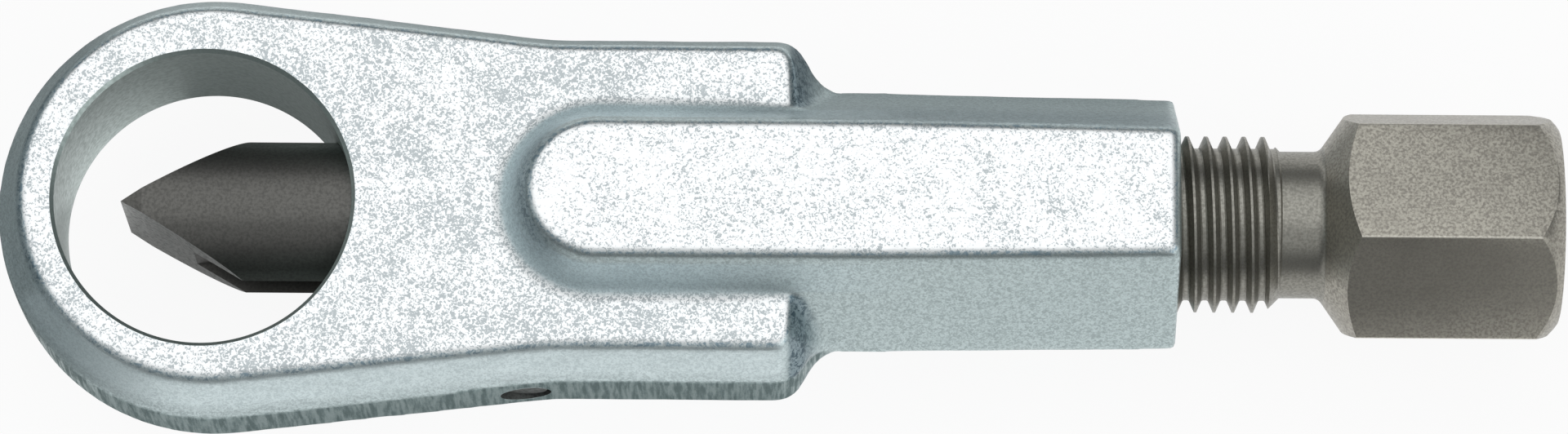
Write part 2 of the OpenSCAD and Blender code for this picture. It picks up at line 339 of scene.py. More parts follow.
class Shader:
    """Principled material whose detail comes from object coordinates and attributes."""

    def __init__(self, name):
        self.material = bpy.data.materials.new(name)
        self.material.use_nodes = True
        self.tree = self.material.node_tree
        self.tree.nodes.clear()
        self.out = self.tree.nodes.new("ShaderNodeOutputMaterial")
        self.bsdf = self.tree.nodes.new("ShaderNodeBsdfPrincipled")
        self.tree.links.new(self.bsdf.outputs["BSDF"], self.out.inputs["Surface"])
        self.coords = self.tree.nodes.new("ShaderNodeTexCoord").outputs["Object"]

    def put(self, socket, value):
        if isinstance(value, bpy.types.NodeSocket):
            self.tree.links.new(value, socket)
        elif isinstance(value, tuple) and len(value) == 3 and len(socket.default_value) == 4:
            socket.default_value = (*value, 1)
        else:
            socket.default_value = value

    def set(self, **values):
        for key, value in values.items():
            self.put(self.bsdf.inputs[key.replace("_", " ")], value)

    def scaled(self, vector):
        node = self.tree.nodes.new("ShaderNodeVectorMath")
        node.operation = "MULTIPLY"
        self.tree.links.new(self.coords, node.inputs[0])
        node.inputs[1].default_value = vector
        return node.outputs[0]

    def noise(self, per_metre, detail=3.0, rough=0.55, stretch=None, distort=0.0):
        node = self.tree.nodes.new("ShaderNodeTexNoise")
        vector = self.scaled(stretch) if stretch else self.coords
        self.tree.links.new(vector, node.inputs["Vector"])
        node.inputs["Scale"].default_value = per_metre
        node.inputs["Detail"].default_value = detail
        node.inputs["Roughness"].default_value = rough
        node.inputs["Distortion"].default_value = distort
        return node.outputs["Fac"]

    def cells(self, per_metre):
        node = self.tree.nodes.new("ShaderNodeTexVoronoi")
        self.tree.links.new(self.coords, node.inputs["Vector"])
        node.inputs["Scale"].default_value = per_metre
        node.inputs["Randomness"].default_value = 1.0
        return node.outputs["Distance"]

    def range(self, value, low, high, to_low=0.0, to_high=1.0):
        node = self.tree.nodes.new("ShaderNodeMapRange")
        node.interpolation_type = "SMOOTHSTEP"
        self.put(node.inputs["Value"], value)
        node.inputs["From Min"].default_value = low
        node.inputs["From Max"].default_value = high
        node.inputs["To Min"].default_value = to_low
        node.inputs["To Max"].default_value = to_high
        return node.outputs["Result"]

    def math(self, operation, a, b):
        node = self.tree.nodes.new("ShaderNodeMath")
        node.operation = operation
        self.put(node.inputs[0], a)
        self.put(node.inputs[1], b)
        return node.outputs[0]

    def times(self, a, b):
        return self.math("MULTIPLY", a, b)

    def plus(self, a, b):
        return self.math("ADD", a, b)

    def minus(self, a, b):
        return self.math("SUBTRACT", a, b)

    def mix(self, factor, a, b):
        node = self.tree.nodes.new("ShaderNodeMix")
        node.data_type = "RGBA"
        self.put(node.inputs[0], factor)
        self.put(node.inputs[6], a)
        self.put(node.inputs[7], b)
        return node.outputs[2]

    def place(self, axis):
        node = self.tree.nodes.new("ShaderNodeSeparateXYZ")
        self.tree.links.new(self.coords, node.inputs[0])
        return node.outputs[axis]

    def attribute(self, name):
        node = self.tree.nodes.new("ShaderNodeAttribute")
        node.attribute_type = "GEOMETRY"
        node.attribute_name = name
        return node.outputs["Fac"]

    def bump(self, height, strength, distance, normal=None):
        node = self.tree.nodes.new("ShaderNodeBump")
        node.inputs["Strength"].default_value = strength
        node.inputs["Distance"].default_value = distance
        self.tree.links.new(height, node.inputs["Height"])
        if normal is not None:
            self.tree.links.new(normal, node.inputs["Normal"])
        return node.outputs["Normal"]


def forged_zinc():
    """Zinc over a blasted skin: speckled faces, matt slopes darkened with painted shade, a near side and
    a hollow painted lighter, roundings with a painted dark reflection, painted shade on walls, fronts,
    the far side and the nose, and a sheared land darkened partly with painted shade.
    """
    s = Shader("zinc_forging")
    land, flat, painted_shade, painted_sheen, rounding, groove = [s.attribute(name) for name in BODY_SHARES]

    # Speckle of the flat faces, thinner on the boss and on the ring's far end
    patches = s.minus(s.noise(260, 2.0), 0.5)
    fine = s.noise(7200, 2.0, 0.5)
    worms = s.noise(3600, 2.0, 0.5, distort=0.9)
    grain = s.plus(s.times(fine, 0.40), s.times(worms, 0.60))
    dense = s.plus(grain, s.times(patches, 0.20))
    dense = s.minus(dense, s.range(s.place("Z"), 0.0205, 0.0215, 0.0, 0.045))
    dense = s.plus(dense, s.range(s.place("X"), -0.052, -0.034, -0.022, 0.0))
    speckle = s.range(dense, 0.485, 0.545)
    bright = s.mix(s.times(speckle, 0.80), (0.92, 0.935, 0.94), (0.38, 0.43, 0.45))

    # Slopes, their darker colour painted shade for the shaded floor they reflect, with a near side and a
    # hollow round the boss painted lighter
    pale = s.range(grain, 0.40, 0.62)
    matt = s.mix(pale, (0.565, 0.66, 0.665), (0.405, 0.48, 0.485))
    painted_light_matt = s.mix(pale, (0.80, 0.91, 0.925), (0.66, 0.765, 0.78))
    matt = s.mix(painted_sheen, matt, painted_light_matt)
    hollow = s.mix(pale, (0.74, 0.87, 0.90), (0.59, 0.71, 0.74))
    matt = s.mix(groove, matt, hollow)
    colour = s.mix(flat, matt, bright)

    # Painted dark reflection as an uneven line on the roundings, and painted shade on walls, fronts, the
    # far side and the nose
    blots = s.noise(2300, 3.0, 0.6, distort=1.2)
    ragged_painted_reflection = s.plus(rounding, s.times(s.minus(blots, 0.5), 2.2))
    # Painted dark reflection along the roundings
    edge = s.times(s.range(ragged_painted_reflection, 0.82, 1.22), rounding)
    colour = s.mix(s.times(edge, 0.8), colour, (0.24, 0.36, 0.44))
    # Painted shade on walls, fronts, the shank's far side and the ring's nose
    walls = s.mix(s.range(blots, 0.44, 0.60), (0.27, 0.345, 0.375), (0.080, 0.125, 0.150))
    colour = s.mix(painted_shade, colour, walls)

    # Sheared flash land, streaked across; its dark colour is partly painted shade for the shadowed floor
    # it reflects
    streaks = s.range(s.noise(1, 3.0, 0.6, (2600, 2600, 190)), 0.35, 0.65)
    sheared_painted_shade = s.mix(streaks, (0.28, 0.365, 0.365), (0.13, 0.19, 0.19))
    colour = s.mix(s.times(land, 0.9), colour, sheared_painted_shade)
    s.set(Base_Color=colour, Metallic=0.94)

    torn = s.times(streaks, land)
    matt_skin = s.plus(s.times(groove, 0.2), s.times(torn, 0.3))
    s.set(Roughness=s.plus(s.range(grain, 0.35, 0.65, 0.36, 0.46), matt_skin))
    normal = s.bump(s.noise(900, 2.0, 0.5), 0.16, 0.00012)
    normal = s.bump(grain, 0.30, 0.00004, normal)
    s.set(Normal=s.bump(torn, 0.5, 0.00006, normal))
    return s.material


def bored_zinc():
    s = Shader("zinc_bored")
    rings = s.noise(1, 2.0, 0.5, (240, 240, 4200))
    mottle = s.noise(2600, 3.0, 0.6)
    colour = s.mix(s.range(mottle, 0.36, 0.68), (0.53, 0.62, 0.60), (0.42, 0.50, 0.48))
    s.set(Base_Color=colour, Metallic=0.94, Roughness=s.range(mottle, 0.3, 0.7, 0.34, 0.44))
    s.set(Normal=s.bump(rings, 0.18, 0.00003, s.bump(mottle, 0.12, 0.00003)))
    return s.material


def black_steel():
    s = Shader("black_oxide")
    mottle = s.noise(4200, 3.0, 0.6)
    turning = s.noise(1, 2.0, 0.5, (6200, 160, 160))
    colour = s.mix(s.range(mottle, 0.36, 0.68), (0.132, 0.130, 0.122), (0.098, 0.097, 0.091))
    s.set(Base_Color=colour, Metallic=0.92, Roughness=s.range(mottle, 0.3, 0.7, 0.37, 0.44))
    s.set(Normal=s.bump(turning, 0.12, 0.00002, s.bump(mottle, 0.10, 0.00002)))
    return s.material


def ground_steel():
    s = Shader("ground_flank")
    mottle = s.noise(3000, 3.0, 0.65)
    scratches = s.noise(1, 3.0, 0.6, (1500, 1500, 90))
    colour = s.mix(s.range(mottle, 0.44, 0.66), (0.34, 0.345, 0.335), (0.13, 0.135, 0.13))
    s.set(Base_Color=colour, Metallic=0.92, Roughness=s.range(scratches, 0.3, 0.7, 0.36, 0.46))
    s.set(Normal=s.bump(scratches, 0.2, 0.00003, s.bump(mottle, 0.12, 0.00003)))
    return s.material


def phosphate(name, light, dark, scratch):
    """Grey-brown phosphate with tool marks along the stretch that is given."""
    s = Shader(name)
    mottle = s.noise(4600, 3.0, 0.6)
    clouds = s.noise(420, 3.0, 0.55)
    tool_marks = s.noise(1, 2.0, 0.5, scratch)
    colour = s.mix(s.range(mottle, 0.36, 0.66), light, dark)
    colour = s.mix(s.range(clouds, 0.45, 0.75, 0.0, 0.3), colour, dark)
    pits = s.range(s.cells(2300), 0.05, 0.14, 1.0, 0.0)
    colour = s.mix(s.times(pits, 0.25), colour, tuple(0.5 * c for c in dark))
    s.set(Base_Color=colour, Metallic=0.92, Roughness=s.range(mottle, 0.3, 0.7, 0.33, 0.45))
    s.set(Normal=s.bump(tool_marks, 0.15, 0.00003, s.bump(mottle, 0.16, 0.00003)))
    return s.material


def plain_steel(name, colour, roughness):
    s = Shader(name)
    mottle = s.noise(3000, 3.0, 0.6)
    dark = tuple(0.6 * c for c in colour)
    s.set(Base_Color=s.mix(s.range(mottle, 0.42, 0.68), colour, dark), Metallic=0.92)
    s.set(Roughness=s.range(mottle, 0.3, 0.7, roughness, roughness + 0.14))
    s.set(Normal=s.bump(mottle, 0.15, 0.00003))
    return s.material


TURNED_MARKS = (5200, 150, 150)
DRAWN_MARKS = (130, 2600, 2600)
ZINC = forged_zinc()
BORED = bored_zinc()
BLACK = black_steel()
GROUND = ground_steel()
SCREW = phosphate("phosphate_turned", (0.33, 0.323, 0.287), (0.235, 0.229, 0.203), TURNED_MARKS)
HEAD = phosphate("phosphate_drawn", (0.43, 0.413, 0.358), (0.262, 0.247, 0.217), DRAWN_MARKS)
WORN = phosphate("phosphate_worn", (0.62, 0.60, 0.53), (0.46, 0.44, 0.39), DRAWN_MARKS)
PIN = plain_steel("pin_steel", (0.17, 0.18, 0.175), 0.42)
BALL = plain_steel("ball_steel", (0.66, 0.66, 0.66), 0.12)


# Forged body, as ribs of (foot on the land, top on the face, direction, half height of the land)

def arc(centre, r, a0, a1, steps):
    """Points of an arc as (x, y, direction in degrees); hollow if r is negative."""
    turns = [a0 + (a1 - a0) * i / steps for i in range(steps + 1)]
    return [(centre[0] + r * cosd(a), centre[1] + r * sind(a), a) for a in turns]


def leaning(outline, land, h, draft):
    """Ribs of a drafted side."""
    lean = (h - land) * tand(draft)
    return [((x, y), (x - lean * cosd(a), y - lean * sind(a)), a, land) for x, y, a in outline]


def spanning(low, high, land0, land1):
    """Ribs from an outline on the land to an outline on the face."""
    last = len(low) - 1
    ribs = []
    for i, (foot, top) in enumerate(zip(low, high)):
        ribs.append((foot[:2], top[:2], top[2], land0 + (land1 - land0) * i / last))
    return ribs


def shank_half(x):
    """Half width of the shank, which narrows towards its end."""
    narrowing = max(0.0, x - SHANK_X) / (BODY_END_X - SHANK_X)
    return SHANK_HALF + (SHANK_END_HALF - SHANK_HALF) * narrowing


def plate_ribs():
    """Upper half of the plate's ribs, from the ring's far end to the shank."""
    wall = 90 - END_SLOPE
    corner = (SHOULDER_X - CORNER_R * tand(END_SLOPE / 2), SHOULDER_HALF - CORNER_R)
    corner_out = (corner[0] + CORNER_R * cosd(wall), corner[1] + CORNER_R * sind(wall))
    hollow_y = SHANK_HALF - HOLLOW_SINK + HOLLOW_R
    hollow_in_y = hollow_y - HOLLOW_R * sind(wall)
    hollow_in_x = corner_out[0] + (corner_out[1] - hollow_in_y) / tand(END_SLOPE)
    hollow = (hollow_in_x + HOLLOW_R * cosd(wall), hollow_y)
    flank_x = RING_SHIFT + RING_OUT_R * sind(FLANK_ANGLE)
    knee_x = flank_x + (RING_OUT_R * cosd(FLANK_ANGLE) - SHOULDER_HALF) / tand(FLANK_ANGLE)
    knee = (knee_x + KNEE_R * tand(FLANK_ANGLE / 2), SHOULDER_HALF + KNEE_R)
    face_y = SHOULDER_HALF - (PLATE_H - SHOULDER_LAND_H) * tand(PLATE_DRAFT)
    face_corner = (END_FACE_X - END_FACE_LEAN - FACE_CORNER_R, face_y - FACE_CORNER_R)
    end_y = SHANK_HALF - PLATE_H * tand(SHANK_DRAFT) - END_FACE_SINK
    end_face = []
    for i in range(CORNER_STEPS + 1):
        s = (i + 1) / (CORNER_STEPS + 1)
        x = END_FACE_X - END_FACE_LEAN * (1 - s)
        end_face.append((x, face_corner[1] + (end_y - face_corner[1]) * s, 0))
    ring = arc((RING_SHIFT, 0), RING_OUT_R, ARC_START, 90 - FLANK_ANGLE, RING_STEPS)
    bend = arc(knee, -KNEE_R, 90 - FLANK_ANGLE, 90, KNEE_STEPS)
    shoulder = arc(corner, CORNER_R, 90, wall, CORNER_STEPS)
    shoulder_face = arc(face_corner, FACE_CORNER_R, 90, 0, CORNER_STEPS)
    hollow_foot = arc(hollow, -HOLLOW_R, wall, 90, CORNER_STEPS)
    return (leaning(ring, RING_LAND_H, PLATE_H, PLATE_DRAFT)
            + leaning(bend, SHOULDER_LAND_H, PLATE_H, PLATE_DRAFT)
            + spanning(shoulder, shoulder_face, SHOULDER_LAND_H, SHOULDER_LAND_H)
            + spanning(hollow_foot, end_face, SHOULDER_LAND_H, THIN_LAND_H))


def boss_ribs():
    """Upper half of the ribs of boss and shank."""
    outline = arc((BOSS_X, 0), SHANK_HALF, ARC_START, 90, BOSS_STEPS)
    for i in range(1, STRAIGHT_STEPS + 1):
        x = BOSS_X + (SHANK_X - BOSS_X) * i / STRAIGHT_STEPS
        outline.append((x, SHANK_HALF, 90))
    for i in range(EDGE_STEPS + 1):
        x = BODY_END_X - END_ROUND_R * (1 - sind(90 * i / EDGE_STEPS))
        outline.append((x, shank_half(x), 90))
    return leaning(outline, THIN_LAND_H, BOSS_H, SHANK_DRAFT)


def on_rib(rib, h, z, reach=0.0):
    """Point of a rib at a height, moved out by the reach."""
    (x0, y0), (x1, y1), a, land = rib
    s = (z - land) / (h - land)
    return (x0 + s * (x1 - x0) + reach * cosd(a), y0 + s * (y1 - y0) + reach * sind(a), z)


def rounded_edge(rib, h, draft, r):
    """Points of the rounding between a rib and the face."""
    (x, y), direction = rib[1], rib[2]
    points = [on_rib(rib, h, h - r * (1 - sind(draft)))]
    for i in range(1, EDGE_STEPS + 1):
        a = draft + (90 - draft) * i / EDGE_STEPS
        out = r * cosd(a) - r * tand((90 - draft) / 2)
        points.append((x + out * cosd(direction), y + out * sind(direction), h - r + r * sind(a)))
    return points


def plate_side(rib):
    return [on_rib(rib, PLATE_H, rib[3])] + rounded_edge(rib, PLATE_H, PLATE_DRAFT, PLATE_EDGE_R)


def boss_side(rib):
    """Side of boss and shank, whose foot fillet fades out at the shoulders."""
    x = rib[0][0]
    share = ramp(x, SHOULDER_X + 0.4, SHOULDER_X - 4.0)
    turn = 90 - SHANK_DRAFT
    tangent = FOOT_R * tand(turn / 2)
    points = [on_rib(rib, BOSS_H, rib[3]),
              on_rib(rib, BOSS_H, PLATE_H - FOOT_SINK, (tangent + FOOT_SPREAD) * share)]
    for i in range(FOOT_STEPS + 1):
        a = turn * i / FOOT_STEPS
        up = FOOT_R * (1 - cosd(a))
        reach = tangent - FOOT_R * sind(a) + up * tand(SHANK_DRAFT)
        points.append(on_rib(rib, BOSS_H, PLATE_H + up, reach * share))
    points += rounded_edge(rib, BOSS_H, SHANK_DRAFT, BOSS_EDGE_R)
    into_end = max(0.0, x - BODY_END_X + END_ROUND_R)
    drop = END_ROUND_R - math.sqrt(max(0.0, END_ROUND_R ** 2 - into_end ** 2))
    return [(px, py, pz * (1 - drop / BOSS_H)) for px, py, pz in points]


def placed(point, side, up, skew):
    """A side's point on one side and one face, moved across with its height over the land."""
    x, y, z = point
    return (x, side * y + skew * max(0.0, z - SHOULDER_LAND_H), up * z)


def forging(sides, skew=0.0):
    """Closed skin over half a set of sides, the same above and below."""
    half = len(sides)
    count = 2 * half
    depth = len(sides[0])
    bm = bmesh.new()
    rows = []
    for k in list(range(depth - 1, -1, -1)) + list(range(depth)):
        up = -1 if len(rows) < depth else 1
        row = [placed(side[k], 1, up, skew) for side in sides]
        row += [placed(side[k], -1, up, skew) for side in reversed(sides)]
        rows.append([bm.verts.new(point) for point in row])
    for low, high in zip(rows, rows[1:]):
        for i in range(count):
            j = (i + 1) % count
            bm.faces.new((low[i], low[j], high[j], high[i]))
    for row in (rows[0], rows[-1]):
        for i in range(half - 1):
            j = count - 1 - i
            bm.faces.new((row[i], row[i + 1], row[j - 1], row[j]))
    bmesh.ops.triangulate(bm, faces=bm.faces)
    bmesh.ops.recalc_face_normals(bm, faces=bm.faces)
    return bm


def forged_blank():
    """Plate and boss as one evenly meshed skin, softened like a forging."""
    bm = forging([plate_side(rib) for rib in plate_ribs()], tand(FACE_SKEW))
    boss = forging([boss_side(rib) for rib in boss_ribs()])
    mesh = bpy.data.meshes.new("boss")
    boss.to_mesh(mesh)
    boss.free()
    bm.from_mesh(mesh)
    bpy.data.meshes.remove(mesh)
    obj = to_object(bm, "blank")
    remesh = obj.modifiers.new("skin", "REMESH")
    remesh.mode = "VOXEL"
    remesh.voxel_size = VOXEL
    remesh.adaptivity = 0.0
    bm = settled(obj)
    for factor in SMOOTHING:
        bmesh.ops.smooth_vert(bm, verts=bm.verts, factor=factor,
                              use_axis_x=True, use_axis_y=True, use_axis_z=True)
    bm.normal_update()
    for v in bm.verts:
        wave = sum(height * noise.noise(v.co * pace + place) for height, pace, place in WAVES)
        keep = ramp(v.co.x, BODY_END_X - 0.8, BODY_END_X - 2.8)
        v.co += v.normal * (wave * keep)
    return bm


def land_half(x):
    """Half height of the trimmed flash land, which runs out behind the shoulders."""
    if x < LAND_STEP_X:
        return RING_LAND_H
    if x < SHOULDER_X:
        return SHOULDER_LAND_H
    return max(0.0, SHOULDER_LAND_H * (1 - (x - SHOULDER_X) / LAND_RUN_OUT))


def painted_shade_share(v):
    """Share of painted shade: shoulder walls, the boss's front, the shank's far side, more of it away
    from mid-height, and the ring's nose.
    """
    x, y, z = v.co.x, v.co.y, abs(v.co.z)
    n = v.normal
    tilt = abs(n.z)
    walls = ramp(x, 45.9, 46.3) * ramp(x, 48.8, 47.2)
    walls *= ramp(n.x, 0.12, 0.35) * ramp(abs(y), 6.8, 7.8)
    front = ramp(n.x, -0.3, -0.75) * ramp(x, 18.0, 19.0)
    front *= ramp(z, PLATE_H + 0.6, BOSS_H - 1.2)
    clear = max(ramp(x, 46.5, 48.5), ramp(z, PLATE_H + 0.3, PLATE_H + 0.6))
    far = clear * ramp(x, 36.0, 56.0) * ramp(n.y, 0.6, 0.85)
    far *= ramp(BODY_END_X - x, -0.1, 0.3)
    band = 0.15 + 0.40 * ramp(z, 4.5, 8.0)
    nose = ramp(x, -7.0, -13.0) * ramp(n.x, -0.3, -0.6)
    nose *= ramp(tilt, 0.40, 0.55) * ramp(tilt, 0.95, 0.85)
    return max(walls, 0.8 * front, band * far, 0.75 * nose)


def ring_cutter():
    past = 1.5
    out_r = RING_R + RIM_CHAMFER + past
    return turned([(-PLATE_H - past, 0), (-PLATE_H - past, out_r), (-PLATE_H + RIM_CHAMFER, RING_R),
                   (PLATE_H - RIM_CHAMFER, RING_R), (PLATE_H + past, out_r), (PLATE_H + past, 0)],
                  160, Z_AXIS)


def axis_cutter():
    past = 1
    mouth_r = TAPPED_R + MOUTH_CHAMFER + past
    return turned([(0, 0), (0, GUIDE_R), (GUIDE_END_X, GUIDE_R), (TAPPED_X, TAPPED_R),
                   (BODY_END_X - MOUTH_CHAMFER, TAPPED_R), (BODY_END_X + past, mouth_r),
                   (BODY_END_X + past, 0)], 96)


def pin_cutter():
    hole = turned([(PIN_HOLE_Y, 0), (PIN_HOLE_Y, PIN_R), (0, PIN_R), (0, 0)], 64, Y_AXIS)
    return moved(hole, PIN_X)


def mark_body_faces(bm):
    """Bores get material 1, the wall of the pin's hole material 2, the pin's dark steel as painted shade
    in the hole.
    """
    for face in bm.faces:
        c = face.calc_center_median()
        n = face.normal
        from_axis = math.hypot(c.y, c.z)
        in_ring = math.hypot(c.x, c.y) < RING_R + 0.5 and c.x * n.x + c.y * n.y < 0
        in_mouth = from_axis < TAPPED_R + 0.65 and c.x > BODY_END_X - 0.7
        if in_ring and abs(n.z) < 0.9:
            face.material_index = 1
        elif c.x > AXIS_BORE_X and (from_axis < TAPPED_R + 0.05 or in_mouth):
            inward = c.y * n.y + c.z * n.z < 0
            face.material_index = 1 if inward or c.x < BODY_END_X - 0.01 else 0
        # Painted shade: the pin hole's wall takes the pin's dark steel
        elif math.hypot(c.x - PIN_X, c.z) < PIN_R + 0.01 and c.y < 0:
            face.material_index = 2


def mark_body_verts(bm):
    """Writes the shares that the forging's material reads."""
    layers = [bm.verts.layers.float.new(name) for name in BODY_SHARES]
    land, flat, painted_shade, painted_sheen, rounding, groove = layers
    for v in bm.verts:
        x, y, z = v.co.x, v.co.y, abs(v.co.z)
        tilt = abs(v.normal.z)
        foot = ramp(z, PLATE_H + 0.01, PLATE_H + 0.08) * ramp(z, BOSS_H - 1.0, BOSS_H - 1.3)
        near_side = ramp(x, 46.4, 45.4) * ramp(y, -7.0, -8.0)
        v[flat] = ramp(tilt, 0.80, 0.96)
        # Roundings, which carry a painted dark reflection
        v[rounding] = ramp(tilt, 0.98, 0.90) * ramp(tilt, 0.55, 0.75) * (1 - foot)
        # Painted shade on walls, fronts, the far side and the nose
        v[painted_shade] = painted_shade_share(v)
        # The hollow round the boss: painted lighter, and rougher
        v[groove] = foot * ramp(x, 56.0, 36.0)
        # Painted light on the plate's near side above the land
        v[painted_sheen] = near_side * ramp(z, SHOULDER_LAND_H - 0.3, SHOULDER_LAND_H + 1.2)
        half = land_half(x)
        if half > 0:
            on_land = ramp(z, half + 0.12, half - 0.12) * ramp(tilt, 0.55, 0.35)
            v[land] = on_land * min(1.0, half / 1.2)


def make_body():
    bm = tidy(cut(forged_blank(), ring_cutter(), axis_cutter(), pin_cutter()), CUT_MERGE)
    bm.normal_update()
    mark_body_faces(bm)
    mark_body_verts(bm)
    materials = [ZINC, BORED, PIN]
    return piece(bm, "forged_body", "frame", ["body"], materials, 28)


# Chisel

def wedge_cutter(side):
    """Block beyond one flank of the wedge, for side 1 or -1."""
    turn = Matrix.Rotation(math.radians(side * WEDGE_HALF_ANGLE), 4, "Z")
    low_y, high_y = (0, 30) if side > 0 else (-30, 0)
    return block((-25, low_y, -10), (45, high_y, 10), Matrix.Translation((TIP_X, 0, 0)) @ turn)


def bevelled_edge(e):
    """True for a sharp edge outside the ball's dimple."""
    if len(e.link_faces) != 2 or e.calc_face_angle(0) <= math.radians(24):
        return False
    return not all(v.co.x > BUTT_X - 2 and math.hypot(v.co.y, v.co.z) < DIMPLE_KEEP_R
                   for v in e.verts)


def make_chisel():
    bm = turned([(TIP_X, 0), (TIP_X, EDGE_HALF), (TIP_X + TIP_CONE, CHISEL_R),
                 (BUTT_X - BUTT_CHAMFER, CHISEL_R), (BUTT_X, CHISEL_R - BUTT_CHAMFER),
                 (BUTT_X, 0)], 160)
    slot_end = TIP_X + KEYWAY_LENGTH - KEYWAY_HALF
    slot = block((TIP_X - 2, -KEYWAY_OUT, -KEYWAY_HALF), (slot_end, -KEYWAY_FLOOR, KEYWAY_HALF))
    slot_round = turned([(-KEYWAY_OUT, 0), (-KEYWAY_OUT, KEYWAY_HALF),
                         (-KEYWAY_FLOOR, KEYWAY_HALF), (-KEYWAY_FLOOR, 0)], 64, Y_AXIS)
    bm = cut(bm, wedge_cutter(1), wedge_cutter(-1), slot, moved(slot_round, slot_end),
             ball_shape(BALL_R + DIMPLE_PLAY))
    tidy(bm, CUT_MERGE)
    bmesh.ops.dissolve_limit(bm, angle_limit=math.radians(0.3), verts=bm.verts, edges=bm.edges)
    bevel(bm, [e for e in bm.edges if bevelled_edge(e)], CHISEL_BEVEL, 2)
    bm.normal_update()
    for face in bm.faces:
        n = face.normal
        if n.x < -0.4 and abs(n.y) > 0.6 and abs(n.z) < 0.2:
            face.material_index = 1
    materials = [BLACK, GROUND]
    return piece(bm, "wedge_chisel", "chisel", ["chisel"], materials, 12)


# Pressure screw

def thread_solid():
    """Right-hand helix, closed at both ends, with flat crests and rounded roots."""
    low_r = ROOT_R + ROOT_ROUND
    shape = [(0.0, CREST_R), (0.19, CREST_R), (0.58, low_r),
             (0.70, ROOT_R), (0.98, ROOT_R), (1.10, low_r)]
    first = math.floor((HELIX_START_X - CREST_X) / PITCH) - 2
    last = math.ceil((HELIX_END_X - CREST_X) / PITCH) + 2
    bm = strip([(CREST_X + k * PITCH + x, 0, r) for k in range(first, last) for x, r in shape])
    bmesh.ops.spin(bm, geom=bm.verts[:] + bm.edges[:], cent=(0, 0, 0), axis=X_AXIS,
                   angle=2 * math.pi, dvec=(PITCH / HELIX_STEPS, 0, 0), steps=HELIX_STEPS,
                   use_merge=False)
    bmesh.ops.remove_doubles(bm, verts=bm.verts, dist=1e-3)
    middle = (HELIX_START_X + HELIX_END_X) / 2
    for low in (True, False):
        rim = [e for e in bm.edges
               if e.is_boundary and (sum(v.co.x for v in e.verts) / 2 < middle) == low]
        made = bmesh.ops.extrude_edge_only(bm, edges=rim)
        tips = [g for g in made["geom"] if isinstance(g, bmesh.types.BMVert)]
        away = HELIX_START_X - HELIX_TIP if low else HELIX_END_X + HELIX_TIP
        bmesh.ops.pointmerge(bm, verts=tips, merge_co=(away, 0, 0))
    bmesh.ops.recalc_face_normals(bm, faces=bm.faces)
    return bm


def arc_edge(e):
    """True for an edge between a flat of the hexagon and a turned face."""
    if len(e.link_faces) != 2:
        return False
    slopes = [abs(f.normal.x) for f in e.link_faces]
    return min(slopes) < 0.1 and max(slopes) > 0.5


def hex_head():
    corner_r = HEX_FLAT_R / math.cos(math.pi / 6)
    bm = bmesh.new()
    bmesh.ops.create_cone(bm, cap_ends=True, segments=6, radius1=corner_r, radius2=corner_r,
                          depth=BLANK_LENGTH)
    for angle, axis in ((90, "Y"), (HEX_TURN, "X")):
        turn = Matrix.Rotation(math.radians(angle), 3, axis)
        bmesh.ops.rotate(bm, cent=(0, 0, 0), matrix=turn, verts=bm.verts)
    moved(bm, BLANK_X)
    along = [e for e in bm.edges if abs(e.verts[0].co.x - e.verts[1].co.x) > 1]
    bevel(bm, along, HEX_BEVEL, 3, clamp=False)
    cone_end = CONE_X + (CLEAR_R - NECK_R) / tand(CONE_ANGLE)
    profile = [(HEAD_ROOT_X, 0), (HEAD_ROOT_X, HEAD_ROOT_R), (CONE_X, NECK_R), (cone_end, CLEAR_R)]
    profile += [(HEX_END_X - back, r) for back, r in TURNED_END]
    profile.append((HEX_END_X, 0))
    bm = tidy(combined(bm, turned(profile, 160), "INTERSECT"))
    bevel(bm, [e for e in bm.edges if arc_edge(e)], HEX_BEVEL, 1)
    return bm


def thread_envelope():
    """Limits of the thread, with a chamfer at each end."""
    return turned([(THREAD_START_X, 0), (THREAD_START_X, THREAD_OUT_R - START_CHAMFER),
                   (THREAD_START_X + START_CHAMFER, THREAD_OUT_R),
                   (THREAD_END_X - END_CHAMFER, THREAD_OUT_R),
                   (THREAD_END_X, THREAD_OUT_R - END_CHAMFER), (THREAD_END_X, 0)])


def screw_core():
    """Nose, neck and the fillet under the head."""
    profile = [(NOSE_X, 0), (NOSE_X, NOSE_R - NOSE_CHAMFER), (NOSE_X + NOSE_CHAMFER, NOSE_R),
               (NECK_START_X, NOSE_R), (NECK_START_X, NECK_R)]
    for i in range(EDGE_STEPS + 1):
        a = CONE_ANGLE * i / EDGE_STEPS
        profile.append((NECK_FILLET_X + NECK_FILLET_R * sind(a),
                        NECK_R + NECK_FILLET_R * (1 - cosd(a))))
    return turned(profile + [(CORE_X, CORE_R), (CORE_END_X, CORE_R), (CORE_END_X, 0)])


def mark_screw_faces(bm):
    """The head gets material 1, its worn ridges material 2."""
    for face in bm.faces:
        c = face.calc_center_median()
        n = face.normal
        if c.x > HEAD_X:
            turn = math.degrees(math.atan2(n.z, n.y)) - 90 - HEX_TURN
            on_corner = abs(n.x) < 0.1 and abs((turn + 30) % 60 - 30) > 6
            on_arc = 0.2 < abs(n.x) < 0.55
            worn = (on_corner or on_arc) and c.x < HEX_END_X - 0.5
            face.material_index = 2 if worn else 1


def make_screw():
    bm = combined(thread_solid(), thread_envelope(), "INTERSECT")
    bm = combined(bm, screw_core(), "UNION")
    bm = combined(bm, hex_head(), "UNION")
    bm = tidy(cut(bm, ball_shape(BALL_R + SEAT_PLAY)), CUT_MERGE)
    bm.normal_update()
    mark_screw_faces(bm)
    materials = [SCREW, HEAD, WORN]
    return piece(bm, "screw_with_thread", "screw", ["pressure_screw"],
                 materials, 24)


# Guide pin and thrust ball

